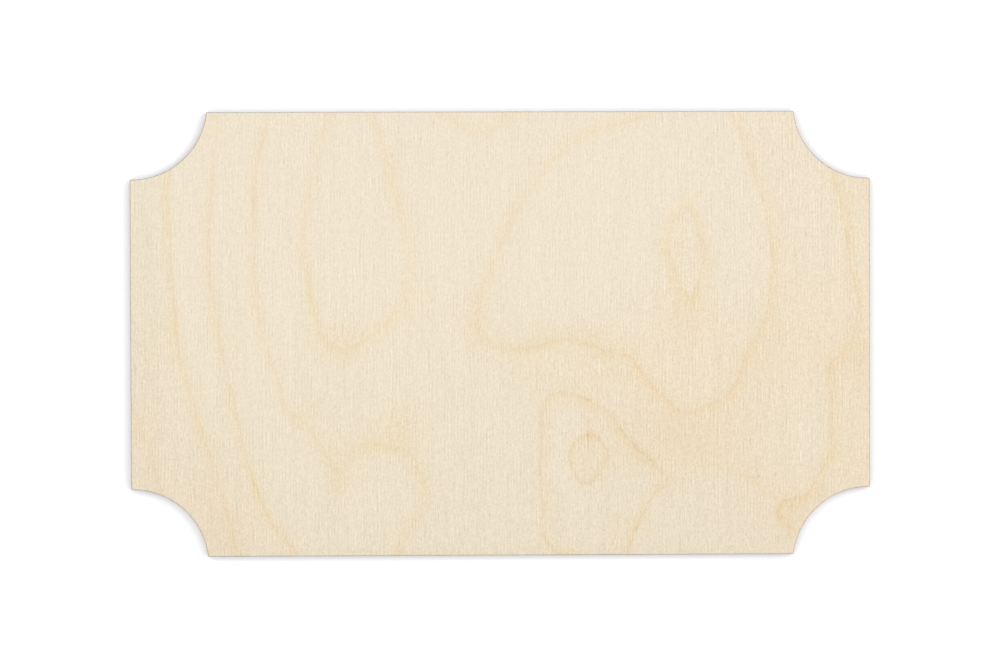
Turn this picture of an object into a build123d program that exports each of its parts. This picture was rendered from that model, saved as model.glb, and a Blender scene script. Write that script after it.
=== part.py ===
"""A blank birch plywood plaque with scooped corners: three cross-laid veneers held by two glue films.

The plaque lies on its back. The origin is the middle of the back face, +X runs along the long side,
+Y along the short side and +Z out of the front face. All sizes are in millimetres.
"""

import os

from build123d import *

# The outline that the cutter follows
PLAQUE_LENGTH = 250.0
PLAQUE_WIDTH = 150.0
SCOOP_RADIUS = 25.5
SCOOP_CENTRE_IN = 0.5  # from the short edge, towards the middle
SCOOP_CENTRE_OUT = 2.8  # from the long edge, away from the middle

# The board that it is cut from: the outer veneers have been sanded, the core has not
FACE_VENEER = 0.9
CORE_VENEER = 1.0
GLUE_LINE = 0.1

# The rounding that a light rub with sandpaper leaves along the outer edges
ARRIS_RADIUS = 0.15

# Every layer of the board in the order that it is laid up, from the back
LAY_UP = [
    ("back_veneer", FACE_VENEER),
    ("back_glue_line", GLUE_LINE),
    ("core_veneer", CORE_VENEER),
    ("front_glue_line", GLUE_LINE),
    ("front_veneer", FACE_VENEER),
]


def scooped_outline():
    """The rectangle of the blank, with a round bite taken out of each corner."""
    centre_x = PLAQUE_LENGTH / 2 - SCOOP_CENTRE_IN
    centre_y = PLAQUE_WIDTH / 2 + SCOOP_CENTRE_OUT
    bites = [
        Pos(side * centre_x, end * centre_y) * Circle(SCOOP_RADIUS)
        for side in (-1, 1)
        for end in (-1, 1)
    ]
    return Rectangle(PLAQUE_LENGTH, PLAQUE_WIDTH) - bites


def lay_up_board():
    """Stacks the layers face to face and returns them by name."""
    outline = scooped_outline()
    layers = {}
    height = 0.0
    for name, thickness in LAY_UP:
        layers[name] = extrude(Pos(0, 0, height) * outline, thickness)
        height += thickness
    return layers


def ease_outer_edges(layers):
    """Rounds the edge of the face that shows on each outer veneer."""
    front_face = layers["front_veneer"].faces().sort_by(Axis.Z)[-1]
    back_face = layers["back_veneer"].faces().sort_by(Axis.Z)[0]
    layers["front_veneer"] = fillet(front_face.edges(), ARRIS_RADIUS)
    layers["back_veneer"] = fillet(back_face.edges(), ARRIS_RADIUS)


def main():
    layers = lay_up_board()
    ease_outer_edges(layers)
    os.makedirs("parts", exist_ok=True)
    for name, layer in layers.items():
        export_step(layer, f"parts/{name}.step")


main()
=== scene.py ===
import math

import bpy
import numpy as np
from mathutils import Euler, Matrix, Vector


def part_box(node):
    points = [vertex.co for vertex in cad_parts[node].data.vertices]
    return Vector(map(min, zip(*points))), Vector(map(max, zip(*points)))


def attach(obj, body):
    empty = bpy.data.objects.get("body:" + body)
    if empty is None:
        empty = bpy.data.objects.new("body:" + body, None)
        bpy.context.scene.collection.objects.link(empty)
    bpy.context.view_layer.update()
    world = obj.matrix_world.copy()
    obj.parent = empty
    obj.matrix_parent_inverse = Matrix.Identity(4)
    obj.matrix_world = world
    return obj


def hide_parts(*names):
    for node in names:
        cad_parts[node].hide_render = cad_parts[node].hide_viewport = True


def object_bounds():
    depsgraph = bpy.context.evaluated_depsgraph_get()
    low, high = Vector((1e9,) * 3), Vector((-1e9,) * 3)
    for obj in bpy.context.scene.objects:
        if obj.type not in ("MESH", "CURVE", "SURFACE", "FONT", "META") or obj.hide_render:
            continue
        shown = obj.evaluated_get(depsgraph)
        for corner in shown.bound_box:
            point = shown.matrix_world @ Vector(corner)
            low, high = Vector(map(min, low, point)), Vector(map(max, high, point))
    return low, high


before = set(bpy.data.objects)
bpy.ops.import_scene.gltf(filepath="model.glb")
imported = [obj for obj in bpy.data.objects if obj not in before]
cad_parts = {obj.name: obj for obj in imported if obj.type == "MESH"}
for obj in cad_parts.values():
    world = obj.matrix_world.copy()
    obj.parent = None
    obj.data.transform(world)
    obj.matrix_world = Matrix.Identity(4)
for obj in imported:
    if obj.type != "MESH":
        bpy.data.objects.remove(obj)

cadBox = [list(corner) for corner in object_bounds()]
mm = 0.001
halfLength = cadBox[1][0]
halfWidth = cadBox[1][1]

# The cut outline, shared by every layer of the board
outline = {
    "scoopRadius": 25.5 * mm,
    "scoopIn": 0.5 * mm,  # the scoop's centre lies this far inside the short edge
    "scoopOut": 2.8 * mm,  # and this far outside the long edge
    "middleColumns": 420,
    "scoopColumns": 60,
    "rows": 150,
    "tremble": 0.012 * mm,  # how deep the cutter's wobble bites into the wall
    "trembleWave": 1.9 * mm,
    "slowWave": (0.37, 1.3),  # a second wobble: its turns for each turn of the first, and where it starts
}
columnCount = outline["middleColumns"] + 2 * outline["scoopColumns"] + 1
rowCount = outline["rows"] + 1


# The upper edge from the left tip to the right one, moved inwards by inset. A scoop is an arc about its
# centre whose radius grows by the inset: it starts where its x meets the short edge and ends where its
# y meets the long edge. Between the two arcs the edge is straight.
def upperEdge(inset):
    radius = outline["scoopRadius"] + inset
    shortTip = math.acos((inset - outline["scoopIn"]) / radius)
    longTip = math.asin((outline["scoopOut"] + inset) / radius)
    turn = np.linspace(shortTip, longTip, outline["scoopColumns"] + 1)
    arcX = outline["scoopIn"] - halfLength + radius * np.cos(turn)
    arcY = halfWidth + outline["scoopOut"] - radius * np.sin(turn)
    straightX = np.linspace(arcX[-1], -arcX[-1], outline["middleColumns"] + 1)[1:-1]
    straightY = np.full(len(straightX), halfWidth - inset)
    x = np.concatenate([arcX, straightX, -arcX[::-1]])
    y = np.concatenate([arcY, straightY, arcY[::-1]])
    return x, y


# The face between the upper edge and its mirror image: y is the edge's y times a share from -1 to 1
def faceGrid(inset):
    x, y = upperEdge(inset)
    share = np.linspace(-1, 1, rowCount)
    return np.broadcast_to(x, (rowCount, columnCount)), share[:, None] * y[None, :]


# Places of the grid's border in one round: upper edge, right side, lower edge, left side
def borderOrder():
    places = np.arange(rowCount * columnCount).reshape(rowCount, columnCount)
    return np.concatenate([places[-1], places[-2:0:-1, -1], places[0, ::-1], places[1:-1, 0]])


# One round of the outline, and which way is inwards at each point. The wobble moves a point inwards,
# square to the outline, by half of its depth and a quarter of it times each of two sines of the way
# round.
def roundTrip(inset, wobble):
    x, y = faceGrid(inset)
    order = borderOrder()
    line = np.column_stack([x.ravel()[order], y.ravel()[order]])
    ahead = np.roll(line, -1, axis=0) - np.roll(line, 1, axis=0)
    ahead /= np.linalg.norm(ahead, axis=1)[:, None]
    inwards = np.column_stack([ahead[:, 1], -ahead[:, 0]])
    way = np.cumsum(np.linalg.norm(np.diff(line, axis=0, prepend=line[-1:]), axis=1))
    wave = 2 * np.pi * way / outline["trembleWave"]
    turns, start = outline["slowWave"]
    bite = 0.5 + 0.25 * np.sin(wave) + 0.25 * np.sin(turns * wave + start)
    return line + inwards * (wobble * outline["tremble"] * bite)[:, None], inwards


# Quads between two rounds of points, given as vertex numbers
def wallQuads(lower, upper):
    return np.column_stack([lower, upper, np.roll(upper, -1), np.roll(lower, -1)])


# A flat lid on one round: strips from the upper edge to the lower one, and a many-sided one at each
# short side
def lidFaces(trip):
    top = trip[:columnCount]
    right = trip[columnCount:columnCount + rowCount - 2]
    bottom = trip[columnCount + rowCount - 2:2 * columnCount + rowCount - 2][::-1]
    left = trip[2 * columnCount + rowCount - 2:]
    strips = np.column_stack([top[1:-2], top[2:-1], bottom[2:-1], bottom[1:-2]])
    leftEnd = np.concatenate([[top[0], top[1], bottom[1], bottom[0]], left])
    rightEnd = np.concatenate([[top[-2], top[-1]], right, [bottom[-1], bottom[-2]]])
    return strips, [leftEnd, rightEnd]


# Puts points, smooth quads, flat quads and many-sided flat faces into a new mesh object
def meshPiece(name, points, smoothQuads, flatQuads, flatEnds):
    corners = np.concatenate([smoothQuads.ravel(), flatQuads.ravel()] + flatEnds).astype(np.int32)
    quadCount = len(smoothQuads) + len(flatQuads)
    sizes = np.concatenate([np.full(quadCount, 4), [len(end) for end in flatEnds]]).astype(np.int32)
    starts = np.concatenate([[0], np.cumsum(sizes)[:-1]]).astype(np.int32)
    mesh = bpy.data.meshes.new(name)
    mesh.vertices.add(len(points))
    mesh.vertices.foreach_set("co", points.astype(np.float32).ravel())
    mesh.loops.add(len(corners))
    mesh.loops.foreach_set("vertex_index", corners)
    mesh.polygons.add(len(sizes))
    mesh.polygons.foreach_set("loop_start", starts)
    mesh.polygons.foreach_set("use_smooth", np.arange(len(sizes)) < len(smoothQuads))
    mesh.update(calc_edges=True)
    mesh.validate()
    piece = bpy.data.objects.new(name, mesh)
    bpy.context.scene.collection.objects.link(piece)
    print(name, len(points), "points,", len(sizes), "faces")
    return piece


# A value or a set of three values for every point, which the material reads by name
def addAttribute(piece, name, values):
    if values.ndim == 1:
        layer = piece.data.attributes.new(name, "FLOAT", "POINT")
        layer.data.foreach_set("value", values.astype(np.float32))
    else:
        layer = piece.data.attributes.new(name, "FLOAT_VECTOR", "POINT")
        layer.data.foreach_set("vector", values.astype(np.float32).ravel())


# Value noise: random heights at the corners of cells, joined by smooth steps
def cellNoise(x, y, cellX, cellY, seed):
    wide = int(2 * halfLength / cellX) + 3
    high = int(2 * halfWidth / cellY) + 3
    heights = np.random.default_rng(seed).random((high, wide))
    u = (x + halfLength) / cellX
    v = (y + halfWidth) / cellY
    i = np.clip(np.floor(u).astype(int), 0, wide - 2)
    j = np.clip(np.floor(v).astype(int), 0, high - 2)
    s = np.clip(u - i, 0, 1)
    t = np.clip(v - j, 0, 1)
    s = s * s * (3 - 2 * s)
    t = t * t * (3 - 2 * t)
    lower = heights[j, i] * (1 - s) + heights[j, i + 1] * s
    upper = heights[j + 1, i] * (1 - s) + heights[j + 1, i + 1] * s
    return lower * (1 - t) + upper * t


# Growth rings of the front, picked on the photograph. A ring's points are x and y in pixels of its 1000
# by 667 frame, and how deep the ring's colour is there in hundredths. A ring is drawn with its inner side
# on the left. It is a thin line in a wider stain: width is the stain's half width, inner and outer say how
# far it trails off on each side, crisp is the line's share of the depth, and aside is how far the line lies
# inside the stain's middle. The rings are shared out over three sets, so that no ring has a close neighbour
# in its own set.
ringsOne = {
    "firstLeft": {
        "width": 5.0, "inner": 5, "outer": 11, "crisp": 0.40, "aside": 1.0,
        "line": [
            (171, 160, 28), (167, 192, 28), (168, 215, 32), (170, 240, 25), (171, 268, 22), (174, 300, 22),
            (176, 330, 36), (180, 358, 28), (188, 386, 26), (195, 410, 22), (203, 438, 30), (212, 464, 20),
            (220, 490, 20), (228, 520, 20), (239, 558, 28),
        ],
    },
    "thirdLeft": {
        "width": 5.4, "inner": 7, "outer": 9, "crisp": 0.40, "aside": 1.5,
        "line": [
            (270, 108, 20), (265, 132, 22), (259, 155, 28), (255, 185, 24), (253, 215, 34), (253, 245, 18),
            (254, 275, 22), (257, 305, 28), (261, 335, 15), (270, 358, 20), (278, 383, 15), (285, 406, 20),
            (298, 418, 22), (311, 432, 22), (322, 450, 26), (331, 467, 22), (338, 480, 12), (342, 490, 0),
        ],
    },
    "greatLeft": {
        "width": 6.2, "inner": 8, "outer": 10, "crisp": 0.25, "aside": 1.3,
        "line": [
            (660, 108, 12), (630, 121, 24), (606, 128, 26), (580, 138, 21), (562, 151, 20), (547, 166, 22),
            (535, 185, 19), (520, 204, 24), (508, 226, 26), (499, 248, 27), (490, 268, 22), (483, 288, 21),
            (478, 308, 22), (478, 325, 20), (488, 341, 32),
        ],
    },
    "greatLow": {
        "width": 5.2, "inner": 13, "outer": 8, "crisp": 0.30, "aside": 1.0,
        "line": [
            (488, 341, 32), (502, 348, 34), (525, 348, 34), (545, 344, 41), (562, 340, 36), (578, 341, 34),
            (598, 349, 42), (615, 354, 36), (630, 358, 36),
        ],
    },
    "greatRight": {
        "width": 5.4, "inner": 5, "outer": 13, "crisp": 0.40, "aside": 2.0,
        "line": [
            (630, 358, 36), (642, 375, 32), (654, 390, 34), (668, 403, 34), (682, 413, 32), (698, 410, 30),
            (714, 404, 33), (727, 397, 34), (736, 384, 34), (742, 367, 29), (748, 352, 28), (758, 336, 38),
            (766, 318, 28), (769, 298, 25), (772, 278, 22), (773, 258, 25), (771, 238, 29), (768, 218, 25),
            (764, 200, 20), (757, 181, 28), (751, 161, 28), (743, 141, 19), (730, 108, 18),
        ],
    },
    "right": {
        "width": 5.4, "inner": 6, "outer": 11, "crisp": 0.40, "aside": 2.0,
        "line": [
            (801, 533, 30), (790, 528, 36), (782, 521, 44), (778, 513, 42), (782, 505, 42), (792, 501, 38),
            (804, 497, 38), (813, 488, 36), (819, 476, 30), (826, 463, 38), (831, 447, 37), (831, 420, 23),
            (830, 395, 27), (829, 375, 27), (833, 364, 34), (842, 353, 26), (852, 340, 8), (858, 322, 16),
            (860, 303, 26), (856, 286, 25), (852, 268, 26), (849, 248, 31), (846, 226, 36), (842, 204, 34),
            (837, 186, 32), (832, 166, 34),
        ],
    },
    "knot": {
        "width": 4.2, "inner": 6, "outer": 3, "crisp": 0.70, "aside": -1.3,
        "line": [
            (588, 435, 38), (582, 437, 36), (576, 441, 34), (571, 448, 32), (569, 455, 32), (570, 463, 33),
            (573, 470, 32), (576, 477, 32), (579, 482, 34), (588, 483, 29), (594, 479, 26), (601, 470, 27),
            (606, 458, 34), (606, 451, 34), (602, 445, 34), (595, 438, 36), (588, 435, 38),
        ],
    },
}
ringsTwo = {
    "leftFaint": {
        "width": 4.4, "inner": 4, "outer": 10, "crisp": 0.40, "aside": 1.0,
        "line": [(131, 396, 12), (140, 428, 20), (148, 448, 18), (154, 468, 18), (161, 494, 16)],
    },
    "secondLeft": {
        "width": 4.8, "inner": 5, "outer": 9, "crisp": 0.40, "aside": 1.7,
        "line": [
            (219, 108, 18), (216, 140, 21), (213, 175, 24), (210, 215, 22), (209, 250, 25), (211, 285, 28),
            (216, 318, 33), (219, 345, 28), (226, 372, 15), (232, 398, 29), (238, 428, 27), (245, 458, 26),
            (254, 484, 34), (264, 511, 36), (278, 531, 28), (299, 558, 28),
        ],
    },
    "crown": {
        "width": 5.4, "inner": 11, "outer": 11, "crisp": 0.12, "aside": 0.8,
        "line": [
            (332, 108, 22), (322, 136, 19), (314, 165, 19), (307, 195, 20), (303, 222, 26), (303, 248, 26),
            (307, 275, 26), (312, 305, 38), (318, 330, 28), (329, 345, 23), (340, 351, 26), (353, 346, 24),
            (370, 335, 22), (386, 322, 25),
        ],
    },
    "crownRight": {
        "width": 6.5, "inner": 12, "outer": 13, "crisp": 0.05, "aside": 1.5,
        "line": [
            (386, 322, 25), (401, 304, 20), (410, 282, 12), (410, 262, 14), (406, 240, 20), (401, 217, 18),
            (395, 195, 26), (388, 172, 26), (383, 148, 22), (376, 128, 22), (368, 108, 18),
        ],
    },
    "topDip": {
        "width": 6.0, "inner": 8, "outer": 8, "crisp": 0.20, "aside": -1.0,
        "line": [
            (434, 109, 18), (452, 119, 26), (466, 128, 25), (478, 135, 15), (491, 129, 24), (504, 120, 22),
            (524, 109, 28),
        ],
    },
    "eye": {
        "width": 6.0, "inner": 7, "outer": 11, "crisp": 0.35, "aside": 2.0,
        "line": [
            (686, 205, 31), (677, 215, 32), (669, 230, 25), (667, 246, 34), (670, 262, 34), (676, 278, 29),
            (683, 292, 27), (690, 302, 34), (696, 290, 27), (701, 276, 23), (704, 260, 31), (702, 244, 24),
            (698, 230, 25), (693, 214, 26), (686, 205, 31),
        ],
    },
    "rightTwig": {
        "width": 4.0, "inner": 8, "outer": 4, "crisp": 0.30, "aside": 0.0,
        "line": [(874, 349, 12), (860, 345, 14), (850, 344, 10), (842, 345, 0)],
    },
    "drop": {
        "width": 5.0, "inner": 10, "outer": 7, "crisp": 0.55, "aside": -1.7,
        "line": [
            (624, 558, 22), (632, 534, 38), (641, 515, 33), (649, 499, 25), (657, 490, 27), (666, 482, 30),
            (659, 471, 25), (645, 457, 40), (631, 445, 31), (621, 432, 29), (610, 416, 25), (599, 408, 26),
            (588, 401, 38), (576, 396, 34), (562, 393, 30), (550, 397, 32), (543, 408, 26), (542, 428, 21),
            (541, 450, 30), (540, 472, 25), (541, 492, 20), (543, 508, 30), (542, 526, 17), (546, 541, 30),
            (554, 550, 34), (572, 558, 34),
        ],
    },
    "lowLoop": {
        "width": 6.0, "inner": 9, "outer": 13, "crisp": 0.30, "aside": -2.0,
        "line": [
            (396, 558, 22), (403, 537, 24), (412, 522, 23), (422, 508, 16), (425, 494, 24), (422, 481, 28),
            (416, 468, 32), (411, 456, 23), (400, 449, 26), (385, 446, 26), (370, 444, 34), (358, 448, 32),
            (349, 457, 22), (342, 469, 12), (338, 484, 16), (337, 494, 0),
        ],
    },
}
ringsThree = {
    "shelf": {
        "width": 4.0, "inner": 17, "outer": 3, "crisp": 0.0, "aside": 0.0,
        "line": [
            (662, 486, 0), (676, 478, 12), (692, 470, 19), (715, 466, 20), (740, 475, 26), (760, 486, 24),
            (774, 499, 14), (779, 506, 0),
        ],
    },
}
frontFigure = {
    "pixel": 0.3383,  # mm
    "middle": (500.2, 333.4),
    "reach": 30,  # pixels from a ring within which its tone ends
    "fade": (0.9, 0.25),  # where in the reach the tone ends, and over how much of it the tone fades
    "rings": {"One": ringsOne, "Two": ringsTwo, "Three": ringsThree},
    # Soft clouds of honey, dusky and straw wood: middle, half width and half height in pixels, and depth in
    # hundredths. The dusk clouds are dusky wood and painted shade in one: the widest darken the face
    # towards the bottom and at its left side, where the light falls off, a negative one is painted light in
    # the upper middle, and one more darkens the face along its lower edge
    "honey": [
        (815, 290, 80, 260, 10),
        (668, 372, 110, 34, 9),
        (680, 434, 80, 38, 18),
        (790, 345, 90, 50, 4),
        (852, 480, 30, 34, 6),
        (862, 425, 22, 90, 11),
        (857, 358, 14, 20, 14),
        (690, 322, 28, 26, 14),
        (605, 330, 40, 26, 4),
        (662, 290, 24, 50, 6),
        (687, 250, 15, 40, 8),
        (794, 512, 16, 16, 14),
        (765, 505, 45, 30, 6),
        (588, 457, 14, 20, 8),
        (589, 434, 5, 4, 24),
        (690, 445, 40, 20, 5),
        (397, 424, 14, 18, 11),
        (338, 337, 18, 16, 10),
        (205, 520, 50, 55, 10),
        (150, 430, 30, 60, 8),
        (770, 130, 45, 30, 4),
        (866, 188, 8, 18, 12),
        (818, 500, 12, 12, 7),
        (613, 535, 12, 26, 8),
        (588, 420, 5, 10, 10),
        (472, 319, 18, 30, 11),
        (338, 488, 9, 24, 6),
    ],
    "duskAndShade": [
        # painted shade: darker towards the bottom
        (500, 600, 460, 200, 20),
        # painted shade: darker at the left side
        (110, 370, 48, 200, 22),
        (690, 448, 80, 40, 5),
        (740, 535, 80, 50, 7),
        (200, 480, 45, 100, 8),
        (385, 500, 45, 50, -4),
        (810, 190, 60, 90, 2),
        (790, 345, 90, 50, 3),
        (255, 540, 70, 30, 5),
        (560, 378, 45, 22, 4),
        (570, 338, 50, 14, 6),
        (342, 348, 24, 14, 5),
        (148, 260, 22, 90, 4),
        (228, 535, 30, 30, 4),
        (397, 424, 14, 16, 3),
        # painted light: lighter in the upper middle
        (430, 215, 120, 90, -3),
        (622, 433, 10, 10, 5),
        (635, 447, 10, 8, 6),
        (647, 459, 10, 8, 9),
        (657, 470, 8, 8, 5),
        (500, 556, 460, 9, 10),
        (818, 500, 12, 12, 8),
        (786, 536, 10, 12, 9),
        (810, 472, 10, 10, 7),
        (748, 471, 10, 8, 6),
        (673, 492, 10, 10, 6),
        (311, 403, 14, 15, 9),
        (851, 328, 10, 12, 9),
        (629, 307, 13, 13, 8),
        (458, 389, 14, 13, 8),
        (167, 495, 10, 14, 8),
        (558, 468, 14, 20, -8),
    ],
    "straw": [
        (600, 325, 260, 40, 4),
        (350, 395, 90, 36, 5),
        (305, 425, 28, 24, 5),
        (405, 425, 40, 20, 9),
        (385, 447, 30, 10, 15),
        (345, 478, 24, 30, 7),
        (560, 374, 80, 24, 7),
        (215, 338, 110, 42, 3),
        (394, 188, 12, 26, 5),
        (412, 296, 16, 36, 9),
        (497, 275, 14, 60, 4),
    ],
}


# A smooth line through given points: between two points each value follows the cubic whose slope at a
# point is half the step between that point's neighbours
def smoothLine(points, steps=6):
    known = np.array(points, dtype=float)
    padded = np.vstack([2 * known[:1] - known[1:2], known, 2 * known[-1:] - known[-2:-1]])
    a, b, c, d = padded[:-3, None], padded[1:-2, None], padded[2:-1, None], padded[3:, None]
    t = np.linspace(0, 1, steps, endpoint=False)[None, :, None]
    square, cube = 2 * a - 5 * b + 4 * c - d, 3 * b - a - 3 * c + d
    curve = 0.5 * (2 * b + (c - a) * t + square * t**2 + cube * t**3)
    return np.vstack([curve.reshape(-1, known.shape[1]), known[-1:]])


# For each place: its distance to a line, positive on the line's left, the line's third value at the
# nearest point, and how far the line's normal there leans along y. Only so many places at once, to
# spare memory.
def lineField(places, line, atOnce=6000):
    start = line[:-1, :2]
    step = np.diff(line[:, :2], axis=0)
    length = np.hypot(step[:, 0], step[:, 1])
    field = np.empty((len(places), 3))
    for part in np.array_split(np.arange(len(places)), len(places) // atOnce + 1):
        away = places[part, None, :] - start[None]
        along = np.clip((away * step).sum(axis=2) / length**2, 0, 1)
        gap = np.linalg.norm(away - along[..., None] * step, axis=2)
        near = gap.argmin(axis=1)
        row = np.arange(len(part))
        side = step[near, 0] * away[row, near, 1] - step[near, 1] * away[row, near, 0]
        share = along[row, near]
        field[part, 0] = np.where(side < 0, -1, 1) * gap[row, near]
        field[part, 1] = line[near, 2] * (1 - share) + line[near + 1, 2] * share
        field[part, 2] = step[near, 0] / length[near]
    return field


# What a set of rings says at each place: distance in mm, depth and lean of the nearest ring, its
# stain's spread, and its line's depth and half the way that it lies aside. The depth fades out towards
# the reach, so that nothing shows where one ring's ground ends and the next one's starts.
def ringFields(places, figure, rings):
    pixel, reach = figure["pixel"], figure["reach"]
    ring = np.tile([2.0 * reach, 0.0, 0.0], (len(places), 1))
    spread = np.ones((len(places), 3))
    thin = np.zeros((len(places), 3))
    for look in rings.values():
        line = smoothLine(look["line"])
        line[:, 0] -= figure["middle"][0]
        line[:, 1] = figure["middle"][1] - line[:, 1]
        corners = line[:, :2].min(axis=0) - reach, line[:, :2].max(axis=0) + reach
        close = np.flatnonzero(((places > corners[0]) & (places < corners[1])).all(axis=1))
        field = lineField(places[close], line)
        nearer = np.abs(field[:, 0]) < np.abs(ring[close, 0])
        ring[close[nearer]] = field[nearer]
        spread[close[nearer]] = [look["width"], look["inner"], look["outer"]]
        thin[close[nearer]] = [look["crisp"], 0.5 * look["aside"] * pixel, 0]
    fadeEnd, fadeSpan = figure["fade"]
    fade = np.clip((fadeEnd * reach - np.abs(ring[:, 0])) / (fadeSpan * reach), 0, 1)
    ring[:, 1] *= fade * fade * (3 - 2 * fade) / 100
    ring[:, 0] *= pixel
    thin[:, 0] *= ring[:, 1]
    return ring, spread * pixel, thin


# Bell-shaped clouds added up
def cloudField(places, figure, clouds):
    total = np.zeros(len(places))
    for middleX, middleY, halfX, halfY, depth in clouds:
        u = (places[:, 0] + figure["middle"][0] - middleX) / halfX
        v = (places[:, 1] - figure["middle"][1] + middleY) / halfY
        total += depth / 100 * np.exp(-u * u - v * v)
    return total


def figureFront(x, y):
    places = np.column_stack([x, y]) / (frontFigure["pixel"] * mm)
    fields = {}
    for setName, rings in frontFigure["rings"].items():
        ring, spread, thin = ringFields(places, frontFigure, rings)
        fields.update({"ring" + setName: ring, "spread" + setName: spread, "thin" + setName: thin})
    clouds = [cloudField(places, frontFigure, frontFigure[tone]) for tone in ("honey", "duskAndShade", "straw")]
    fields["cloud"] = np.column_stack(clouds)
    return fields


# The back's figure: where a knife cuts rolling growth layers it shows their level lines. The height is
# a few smooth hills, and the distance to a ring is the rest of the height to the nearest whole level,
# over the slope.
backFigure = {
    "hills": [  # middle, half width and half height in mm, levels
        (-62, 20, 60, 120, 4.2),
        (66, -26, 46, 90, 3.1),
        (10, 62, 40, 46, 1.6),
    ],
    "lean": 0.012,  # levels a mm along the long side
    "spread": (1.7, 1.4, 3.6),  # half width, inner and outer trail in mm
    "depth": 0.34,
    "uneven": (0.6, 0.6),  # the least share of the depth, and how much more a ring may get
    "unevenCell": (30 * mm, 40 * mm),
    "fade": (0.46, 0.2),  # levels from a ring where its tone ends, and over which it fades
    "crisp": 0.35,
    "aside": 0.2,  # mm
    "honey": 0.16,
    "honeyCell": (45 * mm, 60 * mm),
    "duskAndShade": 0.2,
    "duskCell": (72 * mm, 60 * mm),
    "seeds": (3, 5, 6),  # for the depth, the honey and the dusk
}


def figureBack(x, y):
    u, v = x / mm, y / mm
    height = backFigure["lean"] * u
    slopeX = np.full(len(u), backFigure["lean"])
    slopeY = np.zeros(len(u))
    for middleX, middleY, halfX, halfY, levels in backFigure["hills"]:
        hill = levels * np.exp(-((u - middleX) / halfX)**2 - ((v - middleY) / halfY)**2)
        height += hill
        slopeX -= hill * 2 * (u - middleX) / halfX**2
        slopeY -= hill * 2 * (v - middleY) / halfY**2
    slope = np.maximum(np.hypot(slopeX, slopeY), backFigure["lean"])
    rest = height - np.round(height)
    fadeEnd, fadeSpan = backFigure["fade"]
    fade = np.clip((fadeEnd - np.abs(rest)) / fadeSpan, 0, 1)
    depthSeed, honeySeed, duskSeed = backFigure["seeds"]
    least, more = backFigure["uneven"]
    uneven = least + more * cellNoise(x, y, *backFigure["unevenCell"], depthSeed)
    depth = backFigure["depth"] * fade * uneven
    ring = np.column_stack([rest / slope, depth, slopeY / slope])
    honey = backFigure["honey"] * cellNoise(x, y, *backFigure["honeyCell"], honeySeed)
    duskAndShade = backFigure["duskAndShade"] * cellNoise(x, y, *backFigure["duskCell"], duskSeed)
    spread = np.tile(backFigure["spread"], (len(u), 1))
    none = np.zeros(len(u))
    thin = np.column_stack([backFigure["crisp"] * depth, none + 0.5 * backFigure["aside"], none])
    cloud = np.column_stack([honey, duskAndShade, none])
    return {"ringOne": ring, "spreadOne": spread, "thinOne": thin, "cloud": cloud}


# A face veneer: rounds of the wall from the glue up, the rubbed arris as a quarter circle, two rounds
# just inside it and then the grid of the face. Facing is 1 for the front and -1 for the back.
veneer = {
    "arris": 0.15 * mm,
    "arrisSteps": 4,
    "rim": (0.35 * mm, 0.75 * mm),  # rounds between the arris and the face's grid
    "gridInset": 1.3 * mm,
    "relief": 0.012 * mm,  # how deep the softer fibres are sanded
    "reliefCell": (0.95 * mm, 9 * mm),
    "reliefSeed": 34,
    "arrisToast": (0.9, 1.5),  # how much of the toasting is gone at the arris' top, and how late it goes
    "halo": 0.1,  # toasting of the face beside the arris
    "scorch": 0.22 * mm,  # how far the halo reaches in from the edge
}


def veneerPiece(name, node, facing, figure):
    low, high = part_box(node)
    glueZ, faceZ = (low[2], high[2]) if facing > 0 else (high[2], low[2])
    arris = veneer["arris"]
    turn = np.linspace(0, np.pi / 2, veneer["arrisSteps"] + 1)
    insets = np.concatenate([[0, 0], arris * (1 - np.cos(turn)), veneer["rim"]])
    drops = np.concatenate([[0, 0], arris * (1 - np.sin(turn)), [0, 0]])
    heights = faceZ - facing * drops
    heights[:2] = [glueZ, 0.5 * (glueZ + faceZ)]
    wobble = np.clip(1 - insets / arris, 0, 1)
    trips, facings = zip(*[roundTrip(inset, share) for inset, share in zip(insets, wobble)])
    tripSize = len(trips[0])
    wallPoints = len(trips) * tripSize
    gridX, gridY = faceGrid(veneer["gridInset"])
    x, y = np.vstack([*trips, np.column_stack([gridX.ravel(), gridY.ravel()])]).T
    sanded = veneer["relief"] * cellNoise(x, y, *veneer["reliefCell"], veneer["reliefSeed"] + facing)
    z = np.concatenate([np.repeat(heights, tripSize), faceZ - facing * sanded[wallPoints:]])
    points = np.column_stack([x, y, z])

    numbers = [k * tripSize + np.arange(tripSize) for k in range(len(trips))]
    numbers.append(wallPoints + borderOrder())
    walls = np.vstack([wallQuads(a, b) for a, b in zip(numbers[:-1], numbers[1:])])
    places = wallPoints + np.arange(gridX.size).reshape(gridX.shape)
    corners = [places[:-1, :-1], places[:-1, 1:], places[1:, 1:], places[1:, :-1]]
    cells = np.stack(corners, axis=-1).reshape(-1, 4)
    outerQuads = np.vstack([walls, cells])
    strips, ends = lidFaces(numbers[0])
    if facing < 0:
        outerQuads, strips = outerQuads[:, ::-1], strips[:, ::-1]
        ends = [end[::-1] for end in ends]
    piece = meshPiece(name, points, outerQuads, strips, ends)

    # Toasting is full on the wall, fades over the arris and leaves a faint halo on the face. The face's
    # fibres run along y, so a wall that faces along y shows their ends.
    gone, late = veneer["arrisToast"]
    halo = veneer["halo"] * np.exp(-np.array(veneer["rim"]) / veneer["scorch"])
    toast = np.concatenate([[1, 1], 1 - gone * np.sin(turn)**late, halo])
    addAttribute(piece, "toast", np.concatenate([np.repeat(toast, tripSize), np.zeros(gridX.size)]))
    endGrain = np.concatenate([inwards[:, 1]**2 for inwards in facings] + [np.zeros(gridX.size)])
    addAttribute(piece, "endGrain", endGrain)
    for field, values in figure(x, y).items():
        addAttribute(piece, field, values)
    bakeMap(piece, points, len(trips), len(walls), len(cells), facing)
    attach(piece, "root")
    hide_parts(node)
    return piece


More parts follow.
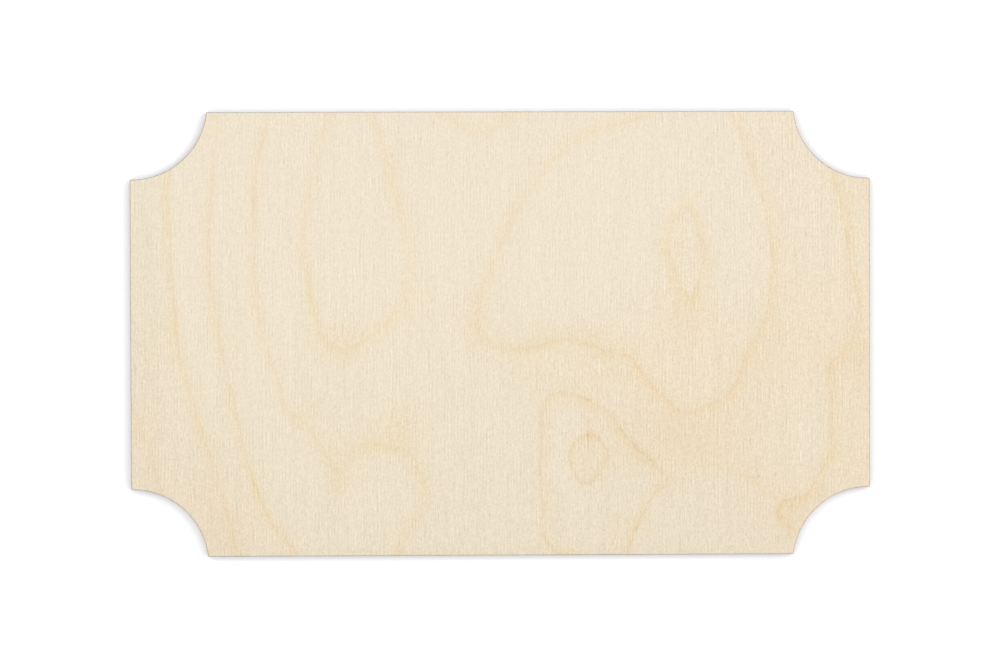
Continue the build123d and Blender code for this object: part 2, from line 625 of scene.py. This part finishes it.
# A bake map that gives the face nearly the whole square. The face is laid flat, the wall is four
# ribbons under it, and the glued side, which nothing shows, shrinks to a small patch between two
# ribbons.
bakeSheet = {
    "face": (0.01, 0.17, 0.98, 0.82),  # left, bottom, width, height
    "patch": (0.46, 0.005, 0.08, 0.04),
    "ribbons": [(0.01, 0.115, 0.98), (0.56, 0.005, 0.43), (0.01, 0.06, 0.98), (0.01, 0.005, 0.43)],
    "ribbonHeight": 0.04,
}


def bakeMap(piece, points, bands, wallCount, cellCount, facing):
    mesh = piece.data
    corner = np.empty(len(mesh.loops), dtype=np.int32)
    mesh.loops.foreach_get("vertex_index", corner)
    across = 0.5 + 0.5 * points[corner, :2] / [halfLength, halfWidth]
    face, patch = np.array(bakeSheet["face"]), np.array(bakeSheet["patch"])
    uv = face[:2] + face[2:] * across
    hidden = 4 * (wallCount + cellCount)
    uv[hidden:] = patch[:2] + patch[2:] * across[hidden:]

    # The bands of the wall that stand up go on the ribbons, and those in the face's plane stay with the
    # face
    steps = wallCount // bands
    flatBands = len(veneer["rim"]) + 1
    standing = bands - flatBands
    band, step = np.divmod(np.arange(standing * steps), steps)
    ahead, upper = np.array([0, 0, 1, 1]), np.array([0, 1, 1, 0])
    if facing < 0:
        ahead, upper = ahead[::-1], upper[::-1]
    ends = np.array([0, columnCount - 1, columnCount + rowCount - 2, 2 * columnCount + rowCount - 3, steps])
    side = np.searchsorted(ends, step, side="right") - 1
    share = (step[:, None] + ahead - ends[side][:, None]) / np.diff(ends)[side][:, None]
    ribbon = np.array(bakeSheet["ribbons"])[side]
    ribbonU = ribbon[:, :1] + ribbon[:, 2:] * share
    ribbonV = ribbon[:, 1:2] + bakeSheet["ribbonHeight"] * (band[:, None] + upper) / standing
    uv[:4 * len(step)] = np.stack([ribbonU, ribbonV], axis=-1).reshape(-1, 2)
    layer = mesh.uv_layers.new(name="OFBake")
    layer.data.foreach_set("uv", uv.astype(np.float32).ravel())


# A layer between the faces: a wall of a few rounds, burnt back a little, with a lid at each end. The
# core's fibres run along x, so a wall that faces along x shows their ends.
inner = {
    "coreBurn": (0.0, 0.012 * mm, 0.018 * mm, 0.012 * mm, 0.0),
    "glueBurn": (0.012 * mm, 0.022 * mm, 0.012 * mm),
}


def innerPiece(name, node, burn):
    low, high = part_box(node)
    heights = np.linspace(low[2], high[2], len(burn))
    trips, facings = zip(*[roundTrip(inset, 1) for inset in burn])
    tripSize = len(trips[0])
    points = np.column_stack([np.vstack(trips), np.repeat(heights, tripSize)])
    numbers = [k * tripSize + np.arange(tripSize) for k in range(len(trips))]
    walls = np.vstack([wallQuads(a, b) for a, b in zip(numbers[:-1], numbers[1:])])
    lowerStrips, lowerEnds = lidFaces(numbers[0])
    upperStrips, upperEnds = lidFaces(numbers[-1])
    strips = np.vstack([lowerStrips, upperStrips[:, ::-1]])
    piece = meshPiece(name, points, walls, strips, lowerEnds + [end[::-1] for end in upperEnds])
    addAttribute(piece, "endGrain", np.concatenate([facing[:, 0]**2 for facing in facings]))
    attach(piece, "root")
    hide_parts(node)
    return piece


# Node helpers
def newMaterial(name, shaderKind="ShaderNodeBsdfPrincipled"):
    material = bpy.data.materials.new(name)
    material.use_nodes = True
    tree = material.node_tree
    tree.nodes.clear()
    shader = tree.nodes.new(shaderKind)
    output = tree.nodes.new("ShaderNodeOutputMaterial")
    tree.links.new(shader.outputs["BSDF"], output.inputs["Surface"])
    return material, tree, shader


# A colour given as it shows on screen, from 0 to 255
def shown(red, green, blue):
    shades = np.array([red, green, blue]) / 255
    return (*np.where(shades <= 0.04045, shades / 12.92, ((shades + 0.055) / 1.055)**2.4), 1.0)


def plug(tree, socket, value):
    if isinstance(value, (int, float, tuple)):
        socket.default_value = value
    else:
        tree.links.new(value, socket)


# Noise on the piece's own coordinates, with cells of the given size in mm along x, y and z
def grainNoise(tree, cell, detail, roughness):
    where = tree.nodes.new("ShaderNodeTexCoord")
    scaled = tree.nodes.new("ShaderNodeMapping")
    scaled.inputs["Scale"].default_value = [1 / (size * mm) for size in cell]
    noise = tree.nodes.new("ShaderNodeTexNoise")
    noise.inputs["Scale"].default_value = 1
    noise.inputs["Detail"].default_value = detail
    noise.inputs["Roughness"].default_value = roughness
    tree.links.new(where.outputs["Object"], scaled.inputs["Vector"])
    tree.links.new(scaled.outputs["Vector"], noise.inputs["Vector"])
    return noise.outputs["Fac"]


# How far a noise is from its middle, times an amount
def swing(tree, noise, amount):
    return maths(tree, "MULTIPLY", maths(tree, "SUBTRACT", noise, 0.5), amount)


# Fine lines along y, an even pitch apart, that wander from side to side: sin(2 pi x / pitch + wander)
def evenLines(tree, pitch, wander):
    place = tree.nodes.new("ShaderNodeSeparateXYZ")
    tree.links.new(tree.nodes.new("ShaderNodeTexCoord").outputs["Object"], place.inputs["Vector"])
    turns = 2 * math.pi / (pitch * mm)
    return maths(tree, "SINE", maths(tree, "MULTIPLY_ADD", place.outputs["X"], turns, wander))


def mapped(tree, value, fromLow, fromHigh, toLow, toHigh):
    node = tree.nodes.new("ShaderNodeMapRange")
    for socket, number in zip(node.inputs[1:5], (fromLow, fromHigh, toLow, toHigh)):
        socket.default_value = number
    tree.links.new(value, node.inputs["Value"])
    return node.outputs["Result"]


def maths(tree, operation, *values):
    node = tree.nodes.new("ShaderNodeMath")
    node.operation = operation
    for socket, value in zip(node.inputs, values):
        plug(tree, socket, value)
    return node.outputs["Value"]


def blended(tree, kind, factor, a, b):
    node = tree.nodes.new("ShaderNodeMix")
    node.data_type = "RGBA"
    node.blend_type = kind
    for socket, value in zip((node.inputs[0], node.inputs[6], node.inputs[7]), (factor, a, b)):
        plug(tree, socket, value)
    return node.outputs[2]


def vectorMaths(tree, operation, result, *values):
    node = tree.nodes.new("ShaderNodeVectorMath")
    node.operation = operation
    for socket, value in zip(node.inputs, values):
        plug(tree, socket, value)
    return node.outputs[result]


# What one colour is multiplied by to get another
def ratio(colour, ground):
    return tuple(c / g for c, g in zip(colour, ground))


def attribute(tree, name, output="Fac"):
    node = tree.nodes.new("ShaderNodeAttribute")
    node.attribute_name = name
    return node.outputs[output]


def attributeParts(tree, name):
    parts = tree.nodes.new("ShaderNodeSeparateXYZ")
    tree.links.new(attribute(tree, name, "Vector"), parts.inputs["Vector"])
    return parts.outputs


def grey(tree, value):
    node = tree.nodes.new("ShaderNodeCombineColor")
    for socket in node.inputs[:3]:
        tree.links.new(value, socket)
    return node.outputs["Color"]


def bumped(tree, height, strength, distance):
    node = tree.nodes.new("ShaderNodeBump")
    node.inputs["Strength"].default_value = strength
    node.inputs["Distance"].default_value = distance
    tree.links.new(height, node.inputs["Height"])
    return node.outputs["Normal"]


# A bell curve of a distance over a width, exp(-(d/w)^2)
def bellCurve(tree, distance, width):
    widths = maths(tree, "DIVIDE", distance, width)
    return maths(tree, "EXPONENT", maths(tree, "MULTIPLY", maths(tree, "MULTIPLY", widths, widths), -1))


# Draws a set of rings from its fields, as a stain and a line. Each fibre has slid a little along the
# grain, which shifts the distance by the slide times the ring's lean, and the rings sway a little
# across it. Both are measured in stain widths, and the line follows them in part. The stain is the
# depth times the mean of a bell curve and a trail, exp(-|d|/t), whose length t differs inside and
# outside the ring. The line is a narrow bell curve.
def ringTones(tree, setName, slid, sway, strength, reach, wood):
    gap, depth, lean = attributeParts(tree, "ring" + setName)
    width, inside, outside = attributeParts(tree, "spread" + setName)
    lineDepth, aside = attributeParts(tree, "thin" + setName)[:2]
    shift = maths(tree, "MULTIPLY", maths(tree, "MULTIPLY_ADD", lean, slid, sway), width)

    stainGap = maths(tree, "ADD", maths(tree, "ADD", gap, aside), shift)
    isInside = maths(tree, "GREATER_THAN", stainGap, 0)
    trail = maths(tree, "MULTIPLY_ADD", isInside, maths(tree, "SUBTRACT", inside, outside), outside)
    trail = maths(tree, "MULTIPLY", trail, reach)
    fall = maths(tree, "DIVIDE", maths(tree, "ABSOLUTE", stainGap), trail)
    tail = maths(tree, "EXPONENT", maths(tree, "MULTIPLY", fall, -1))
    both = maths(tree, "MULTIPLY", maths(tree, "ADD", bellCurve(tree, stainGap, width), tail), 0.5)
    stain = maths(tree, "MULTIPLY", maths(tree, "MULTIPLY", depth, both), strength)

    lineGap = maths(tree, "MULTIPLY_ADD", shift, wood["lineStray"], maths(tree, "SUBTRACT", gap, aside))
    line = maths(tree, "MULTIPLY", lineDepth, bellCurve(tree, lineGap, wood["lineWidth"]))
    return stain, maths(tree, "MULTIPLY", line, strength)


# Small dark flecks, each a bell curve about its middle, exp(-(x/w)^2 - (y/h)^2)
def fleckTone(tree, flecks):
    pixel = frontFigure["pixel"] * mm
    where = tree.nodes.new("ShaderNodeTexCoord").outputs["Object"]
    total = 0.0
    for x, y, wide, high, depth in flecks:
        middle = ((x - frontFigure["middle"][0]) * pixel, (frontFigure["middle"][1] - y) * pixel, 0.0)
        away = vectorMaths(tree, "SUBTRACT", "Vector", where, middle)
        away = vectorMaths(tree, "MULTIPLY", "Vector", away, (1 / (wide * pixel), 1 / (high * pixel), 0.0))
        square = vectorMaths(tree, "DOT_PRODUCT", "Value", away, away)
        bell = maths(tree, "EXPONENT", maths(tree, "MULTIPLY", square, -1))
        total = maths(tree, "MULTIPLY_ADD", bell, depth / 100, total)
    return total


frontBirch = {
    "sets": tuple(frontFigure["rings"]),
    "cream": shown(241, 228.6, 206.6),
    "honey": shown(236, 200, 148),
    "stain": shown(240.5, 213.5, 162),
    "line": shown(213, 193, 160),
    # dusky wood, and on the front painted shade where the light falls off
    "duskAndShade": shown(217, 199, 165),
    "straw": shown(241, 219, 158),
    "pore": shown(208, 184, 148),
    "fleck": shown(150, 112, 78),
    "charred": shown(52, 37, 27),
    "sideGrain": shown(150, 106, 66),
    "endGrain": shown(112, 76, 46),
    "slide": 0.7,  # stain widths that a fibre may have slid along the grain
    "sway": 0.28,  # stain widths that a ring may stray across it
    "fray": (0.25, 0.7),  # how unevenly the fibres take a ring's stain and its line
    "strength": (0.7, 1.3),  # how much a ring's depth changes along it
    "reach": (0.5, 1.6),  # and how much the length of its trails does
    "lineWidth": 0.42,  # half width of a ring's line in mm
    "lineStray": 0.6,  # how much of the slide and the sway it follows
    "finePitch": 1.1,  # mm from one fine line to the next
    "fineWander": 8.0,
    # How much lighter or darker fine lines, mottle, fibres and streaks make the wood
    "fineLine": 0.031,
    "mottle": 0.152,
    "fibre": 0.043,
    "streak": 0.015,
    # How strong the fine lines are from patch to patch: below zero they turn over, so that they break off
    "patchy": (-1.1, 2.1),
    "bolder": (1.4, 3.0, 1.3),  # how much more lines and mottle show in dusky wood and painted shade and in honey wood, and the most
    "tint": (0.9, 1.0, 1.35),  # how much of all that goes to red, green and blue
    "poreStart": (0.74, 0.84),  # noise at which a pore starts and is full
    "poreDepth": 0.42,
    "soot": (0.75, 1.1),  # how unevenly the wood is toasted
    "charStart": (0.02, 0.5),  # toasting at which the wood starts to char and is charred
    "wallStart": (0.85, 1.0),  # toasting from which it is a cut wall
    "roughness": (0.56, 0.72),
    "specular": 0.3,
    "bump": (0.15, 0.02 * mm),  # strength, height
    "fineBump": 0.15,
    # Noises: size of a cell in mm along x, y and z, detail and roughness
    "noises": {
        "wander": ((1.8, 16.0, 2.0), 0, 0.5),
        "patches": ((2.2, 2.8, 2.0), 1, 0.5),
        "fibre": ((0.5, 12.0, 0.4), 0, 0.5),
        "mottle": ((0.62, 0.74, 0.4), 0, 0.5),
        "streak": ((2.4, 42, 2.0), 2, 0.5),
        "pores": ((0.42, 2.4, 0.4), 1, 0.4),
        "slide": ((0.5, 14, 1.0), 2, 0.6),
        "sway": ((1.3, 6, 1.0), 2, 0.5),
        "strength": ((5, 9, 4), 2, 0.5),
        "reach": ((1.6, 9, 2), 2, 0.5),
        "uptake": ((0.7, 9, 1.0), 2, 0.6),
        "soot": ((0.25, 0.25, 1.2), 3, 0.6),
        "grain": ((0.3, 5.0, 0.18), 3, 0.6),
    },
    # Middle, half width, half height in pixels of the photograph and depth in hundredths
    "flecks": [
        (587.6, 434.6, 1.2, 1.6, 12),
        (587.3, 441, 0.7, 9, 22),
        (588.2, 424, 0.6, 8, 14),
        (758, 477, 1.4, 1.5, 24),
        (775, 475, 1.1, 2.2, 18),
        (736.5, 501, 1.3, 1.2, 14),
        (726.5, 492, 0.8, 3.5, 12),
        (420.5, 138.5, 0.9, 3.2, 16),
        (446.5, 154.5, 0.9, 3.2, 14),
        (392, 155, 0.9, 3.2, 16),
        (433.5, 123.5, 0.9, 4.0, 12),
        (553, 233, 0.9, 4.5, 12),
    ],
}
backBirch = dict(
    frontBirch, sets=("One",), cream=shown(239, 225, 201), stain=shown(236, 207, 158),
    flecks=[(300, 240, 1.0, 3.5, 16), (640, 450, 1.2, 1.4, 20), (712, 190, 0.9, 4.0, 14)],
)


# Ranges that noises mostly keep to
midNoise = (0.3, 0.7)
wideNoise = (0.25, 0.75)
fullNoise = (0.2, 0.8)


# Sanded birch: cream wood that takes the colours of the clouds, whose dusk is partly painted shade and
# light, and of the rings, with fine lines, long fibres, a soft mottle and dark pores along the grain, a
# charred arris and a brown wall where the cutter went
def birchFace(name, wood):
    material, tree, shader = newMaterial(name)
    noise = {kind: grainNoise(tree, *look) for kind, look in wood["noises"].items()}
    slid = mapped(tree, noise["slide"], *wideNoise, -wood["slide"], wood["slide"])
    sway = mapped(tree, noise["sway"], *wideNoise, -wood["sway"], wood["sway"])
    strength = mapped(tree, noise["strength"], *midNoise, *wood["strength"])
    reach = mapped(tree, noise["reach"], *midNoise, *wood["reach"])
    stain, line = 0.0, 0.0
    for setName in wood["sets"]:
        setStain, setLine = ringTones(tree, setName, slid, sway, strength, reach, wood)
        stain = maths(tree, "ADD", setStain, stain)
        line = maths(tree, "ADD", setLine, line)
    stainFray, lineFray = wood["fray"]
    stainUptake = mapped(tree, noise["uptake"], *wideNoise, 1 - stainFray, 1 + stainFray)
    lineUptake = mapped(tree, noise["uptake"], *wideNoise, 1 - lineFray, 1 + lineFray)
    stain = maths(tree, "MULTIPLY", stain, stainUptake)
    line = maths(tree, "MULTIPLY", line, lineUptake)

    # The second cloud is dusky wood and, on the front, painted shade towards the bottom and the left side
    # and painted light in the upper middle
    honey, duskAndShade, straw = attributeParts(tree, "cloud")
    colour = blended(tree, "MIX", duskAndShade, wood["cream"], wood["duskAndShade"])
    for tone, tint in ((straw, "straw"), (honey, "honey"), (stain, "stain"), (line, "line")):
        colour = blended(tree, "MULTIPLY", tone, colour, ratio(wood[tint], wood["cream"]))

    inDuskAndShade, inHoney, most = wood["bolder"]
    bold = maths(tree, "MULTIPLY_ADD", duskAndShade, inDuskAndShade, maths(tree, "MULTIPLY_ADD", honey, inHoney, 1.0))
    bold = maths(tree, "MINIMUM", bold, most)
    fineLine = evenLines(tree, wood["finePitch"], swing(tree, noise["wander"], wood["fineWander"]))
    patched = maths(tree, "MULTIPLY", fineLine, mapped(tree, noise["patches"], *midNoise, *wood["patchy"]))
    mottle = swing(tree, noise["mottle"], wood["mottle"])
    fibre = swing(tree, noise["fibre"], wood["fibre"])
    streak = mapped(tree, noise["streak"], *wideNoise, -wood["streak"], wood["streak"])
    light = maths(tree, "MULTIPLY_ADD", patched, wood["fineLine"], mottle)
    light = maths(tree, "ADD", maths(tree, "MULTIPLY_ADD", light, bold, fibre), streak)
    shade = vectorMaths(tree, "MULTIPLY_ADD", "Vector", light, wood["tint"], (1.0, 1.0, 1.0))
    colour = blended(tree, "MULTIPLY", 1.0, colour, shade)
    pores = mapped(tree, noise["pores"], *wood["poreStart"], 0, wood["poreDepth"])
    colour = blended(tree, "MIX", pores, colour, wood["pore"])
    colour = blended(tree, "MIX", fleckTone(tree, wood["flecks"]), colour, wood["fleck"])

    toast = attribute(tree, "toast")
    uneven = maths(tree, "MULTIPLY", toast, mapped(tree, noise["soot"], *midNoise, *wood["soot"]))
    colour = blended(tree, "MIX", mapped(tree, uneven, *wood["charStart"], 0, 1), colour, wood["charred"])
    wall = cutWall(tree, wood, noise["grain"])
    colour = blended(tree, "MIX", mapped(tree, toast, *wood["wallStart"], 0, 1), colour, wall)
    tree.links.new(colour, shader.inputs["Base Color"])
    tree.links.new(mapped(tree, noise["fibre"], *fullNoise, *wood["roughness"]), shader.inputs["Roughness"])
    shader.inputs["Specular IOR Level"].default_value = wood["specular"]
    height = maths(tree, "MULTIPLY_ADD", fineLine, wood["fineBump"], noise["fibre"])
    tree.links.new(bumped(tree, height, *wood["bump"]), shader.inputs["Normal"])
    return material


cutLook = {
    "fibres": (0.55, 1.25),  # how the burn changes from fibre to fibre
    "pulses": 0.2,  # and from pulse to pulse
    "pulseNoise": ((0.22, 0.22, 2.5), 2, 0.5),
}


# A wall that the cutter burnt brown: fibre ends burn darker than their sides, fibres show as lines
# along the grain and the beam's pulses as fine streaks down the wall
def cutWall(tree, wood, grain):
    colour = blended(tree, "MIX", attribute(tree, "endGrain"), wood["sideGrain"], wood["endGrain"])
    fibres = mapped(tree, grain, *wideNoise, *cutLook["fibres"])
    pulseNoise = grainNoise(tree, *cutLook["pulseNoise"])
    pulses = mapped(tree, pulseNoise, *wideNoise, -cutLook["pulses"], cutLook["pulses"])
    return blended(tree, "MULTIPLY", 1.0, colour, grey(tree, maths(tree, "ADD", fibres, pulses)))


coreBirch = {
    "sideGrain": shown(136, 94, 58),
    "endGrain": shown(98, 66, 40),
    "grain": ((5.0, 0.3, 0.18), 3, 0.6),
    "roughness": (0.7, 0.9),
    "specular": 0.25,
    "bump": (0.5, 0.03 * mm),
}


def birchCore(name, wood):
    material, tree, shader = newMaterial(name)
    grain = grainNoise(tree, *wood["grain"])
    tree.links.new(cutWall(tree, wood, grain), shader.inputs["Base Color"])
    tree.links.new(mapped(tree, grain, *fullNoise, *wood["roughness"]), shader.inputs["Roughness"])
    shader.inputs["Specular IOR Level"].default_value = wood["specular"]
    tree.links.new(bumped(tree, grain, *wood["bump"]), shader.inputs["Normal"])
    return material


glueFilm = {
    "brown": shown(62, 44, 32),
    "black": shown(26, 20, 16),
    "breaks": ((1.6, 1.6, 0.2), 3, 0.6),
    "brownStart": (0.35, 0.7),  # noise at which a break starts and is brown
    "roughness": (0.45, 0.65),
    "specular": 0.4,
}


# Scorched resin: nearly black, with brown breaks along the line
def scorchedGlue(name, glue):
    material, tree, shader = newMaterial(name)
    breaks = grainNoise(tree, *glue["breaks"])
    brown = mapped(tree, breaks, *glue["brownStart"], 0, 1)
    colour = blended(tree, "MIX", brown, glue["black"], glue["brown"])
    tree.links.new(colour, shader.inputs["Base Color"])
    tree.links.new(mapped(tree, breaks, *midNoise, *glue["roughness"]), shader.inputs["Roughness"])
    shader.inputs["Specular IOR Level"].default_value = glue["specular"]
    return material


front = veneerPiece("frontVeneer", "front_veneer", 1, figureFront)
front.data.materials.append(birchFace("frontBirch", frontBirch))

back = veneerPiece("backVeneer", "back_veneer", -1, figureBack)
back.data.materials.append(birchFace("backBirch", backBirch))

core = innerPiece("coreVeneer", "core_veneer", inner["coreBurn"])
core.data.materials.append(birchCore("coreBirch", coreBirch))

glueMaterial = scorchedGlue("scorchedGlue", glueFilm)
for side in ("front", "back"):
    film = innerPiece(side + "GlueLine", side + "_glue_line", inner["glueBurn"])
    film.data.materials.append(glueMaterial)


# A white table under the plaque. Seen directly it is lifted past white, as the photograph's is, so that
# only the shadow close to the edge shows, and light that bounces off it has its true colour.
table = {"half": 12.0, "drop": 0.02 * mm, "bounce": 0.82, "seen": (1.23, 1.26, 1.28)}


def whiteTable():
    half, drop = table["half"], table["drop"]
    mesh = bpy.data.meshes.new("table")
    corners = [(-half, -half, -drop), (half, -half, -drop), (half, half, -drop), (-half, half, -drop)]
    mesh.from_pydata(corners, [], [(0, 1, 2, 3)])
    floor = bpy.data.objects.new("table", mesh)
    bpy.context.scene.collection.objects.link(floor)
    material, tree, shader = newMaterial("tableWhite", "ShaderNodeBsdfDiffuse")
    bounce = table["bounce"]
    colour = blended(tree, "MIX", directRay(tree), (bounce, bounce, bounce, 1.0), (*table["seen"], 1.0))
    tree.links.new(colour, shader.inputs["Color"])
    mesh.materials.append(material)


# 1 for rays that come from the camera, a mirror or clear glass, and 0 for scattered light
def directRay(tree):
    path = tree.nodes.new("ShaderNodeLightPath")
    seen = maths(tree, "MAXIMUM", path.outputs["Is Camera Ray"], path.outputs["Is Glossy Ray"])
    return maths(tree, "MAXIMUM", seen, path.outputs["Is Transmission Ray"])


# Soft light from all round, and a weak soft box on each side, the right one stronger
studio = {
    "dome": 0.840,
    "boxSize": 2.0,
    "boxes": {"rightBox": (21.0, (2.6, 0.9, 2.0)), "leftBox": (11.4, (-2.6, 0.9, 2.0))},  # power, place
}


def studioLight():
    world = bpy.data.worlds.new("studio")
    world.use_nodes = True
    tree = world.node_tree
    background = tree.nodes["Background"]
    background.inputs["Color"].default_value = (1, 1, 1, 1)
    tree.links.new(mapped(tree, directRay(tree), 0, 1, studio["dome"], 1.0), background.inputs["Strength"])
    bpy.context.scene.world = world
    for name, (power, place) in studio["boxes"].items():
        lamp = bpy.data.lights.new(name, "AREA")
        lamp.energy = power
        lamp.size = studio["boxSize"]
        holder = bpy.data.objects.new(name, lamp)
        holder.location = place
        x, y, z = place
        holder.rotation_euler = (math.atan2(math.hypot(x, y), z), 0, math.atan2(x, -y))
        bpy.context.scene.collection.objects.link(holder)


# The camera looks down, a touch from the upper left: the plaque's length covers 739 of the frame's 1000
# pixels
view = {
    "lens": 200.0,
    "sensor": 36.0,
    "frameShare": 739.4 / 1000,
    "target": (-0.28 * mm, 0.07 * mm),
    "turn": (-0.030, -0.029, -0.0027),  # tilt about x and y, and roll
}


def photoCamera():
    camera = bpy.data.cameras.new("photoCamera")
    camera.lens = view["lens"]
    camera.sensor_width = view["sensor"]
    holder = bpy.data.objects.new("photoCamera", camera)
    frameWidth = 2 * halfLength / view["frameShare"]
    turn = Euler(view["turn"])
    away = turn.to_matrix() @ Vector((0, 0, frameWidth * view["lens"] / view["sensor"]))
    holder.location = Vector((*view["target"], cadBox[1][2])) + away
    holder.rotation_euler = turn
    bpy.context.scene.collection.objects.link(holder)
    bpy.context.scene.camera = holder


whiteTable()
studioLight()
photoCamera()
bpy.context.scene.view_settings.view_transform = "Standard"
print("table, light and camera are set")
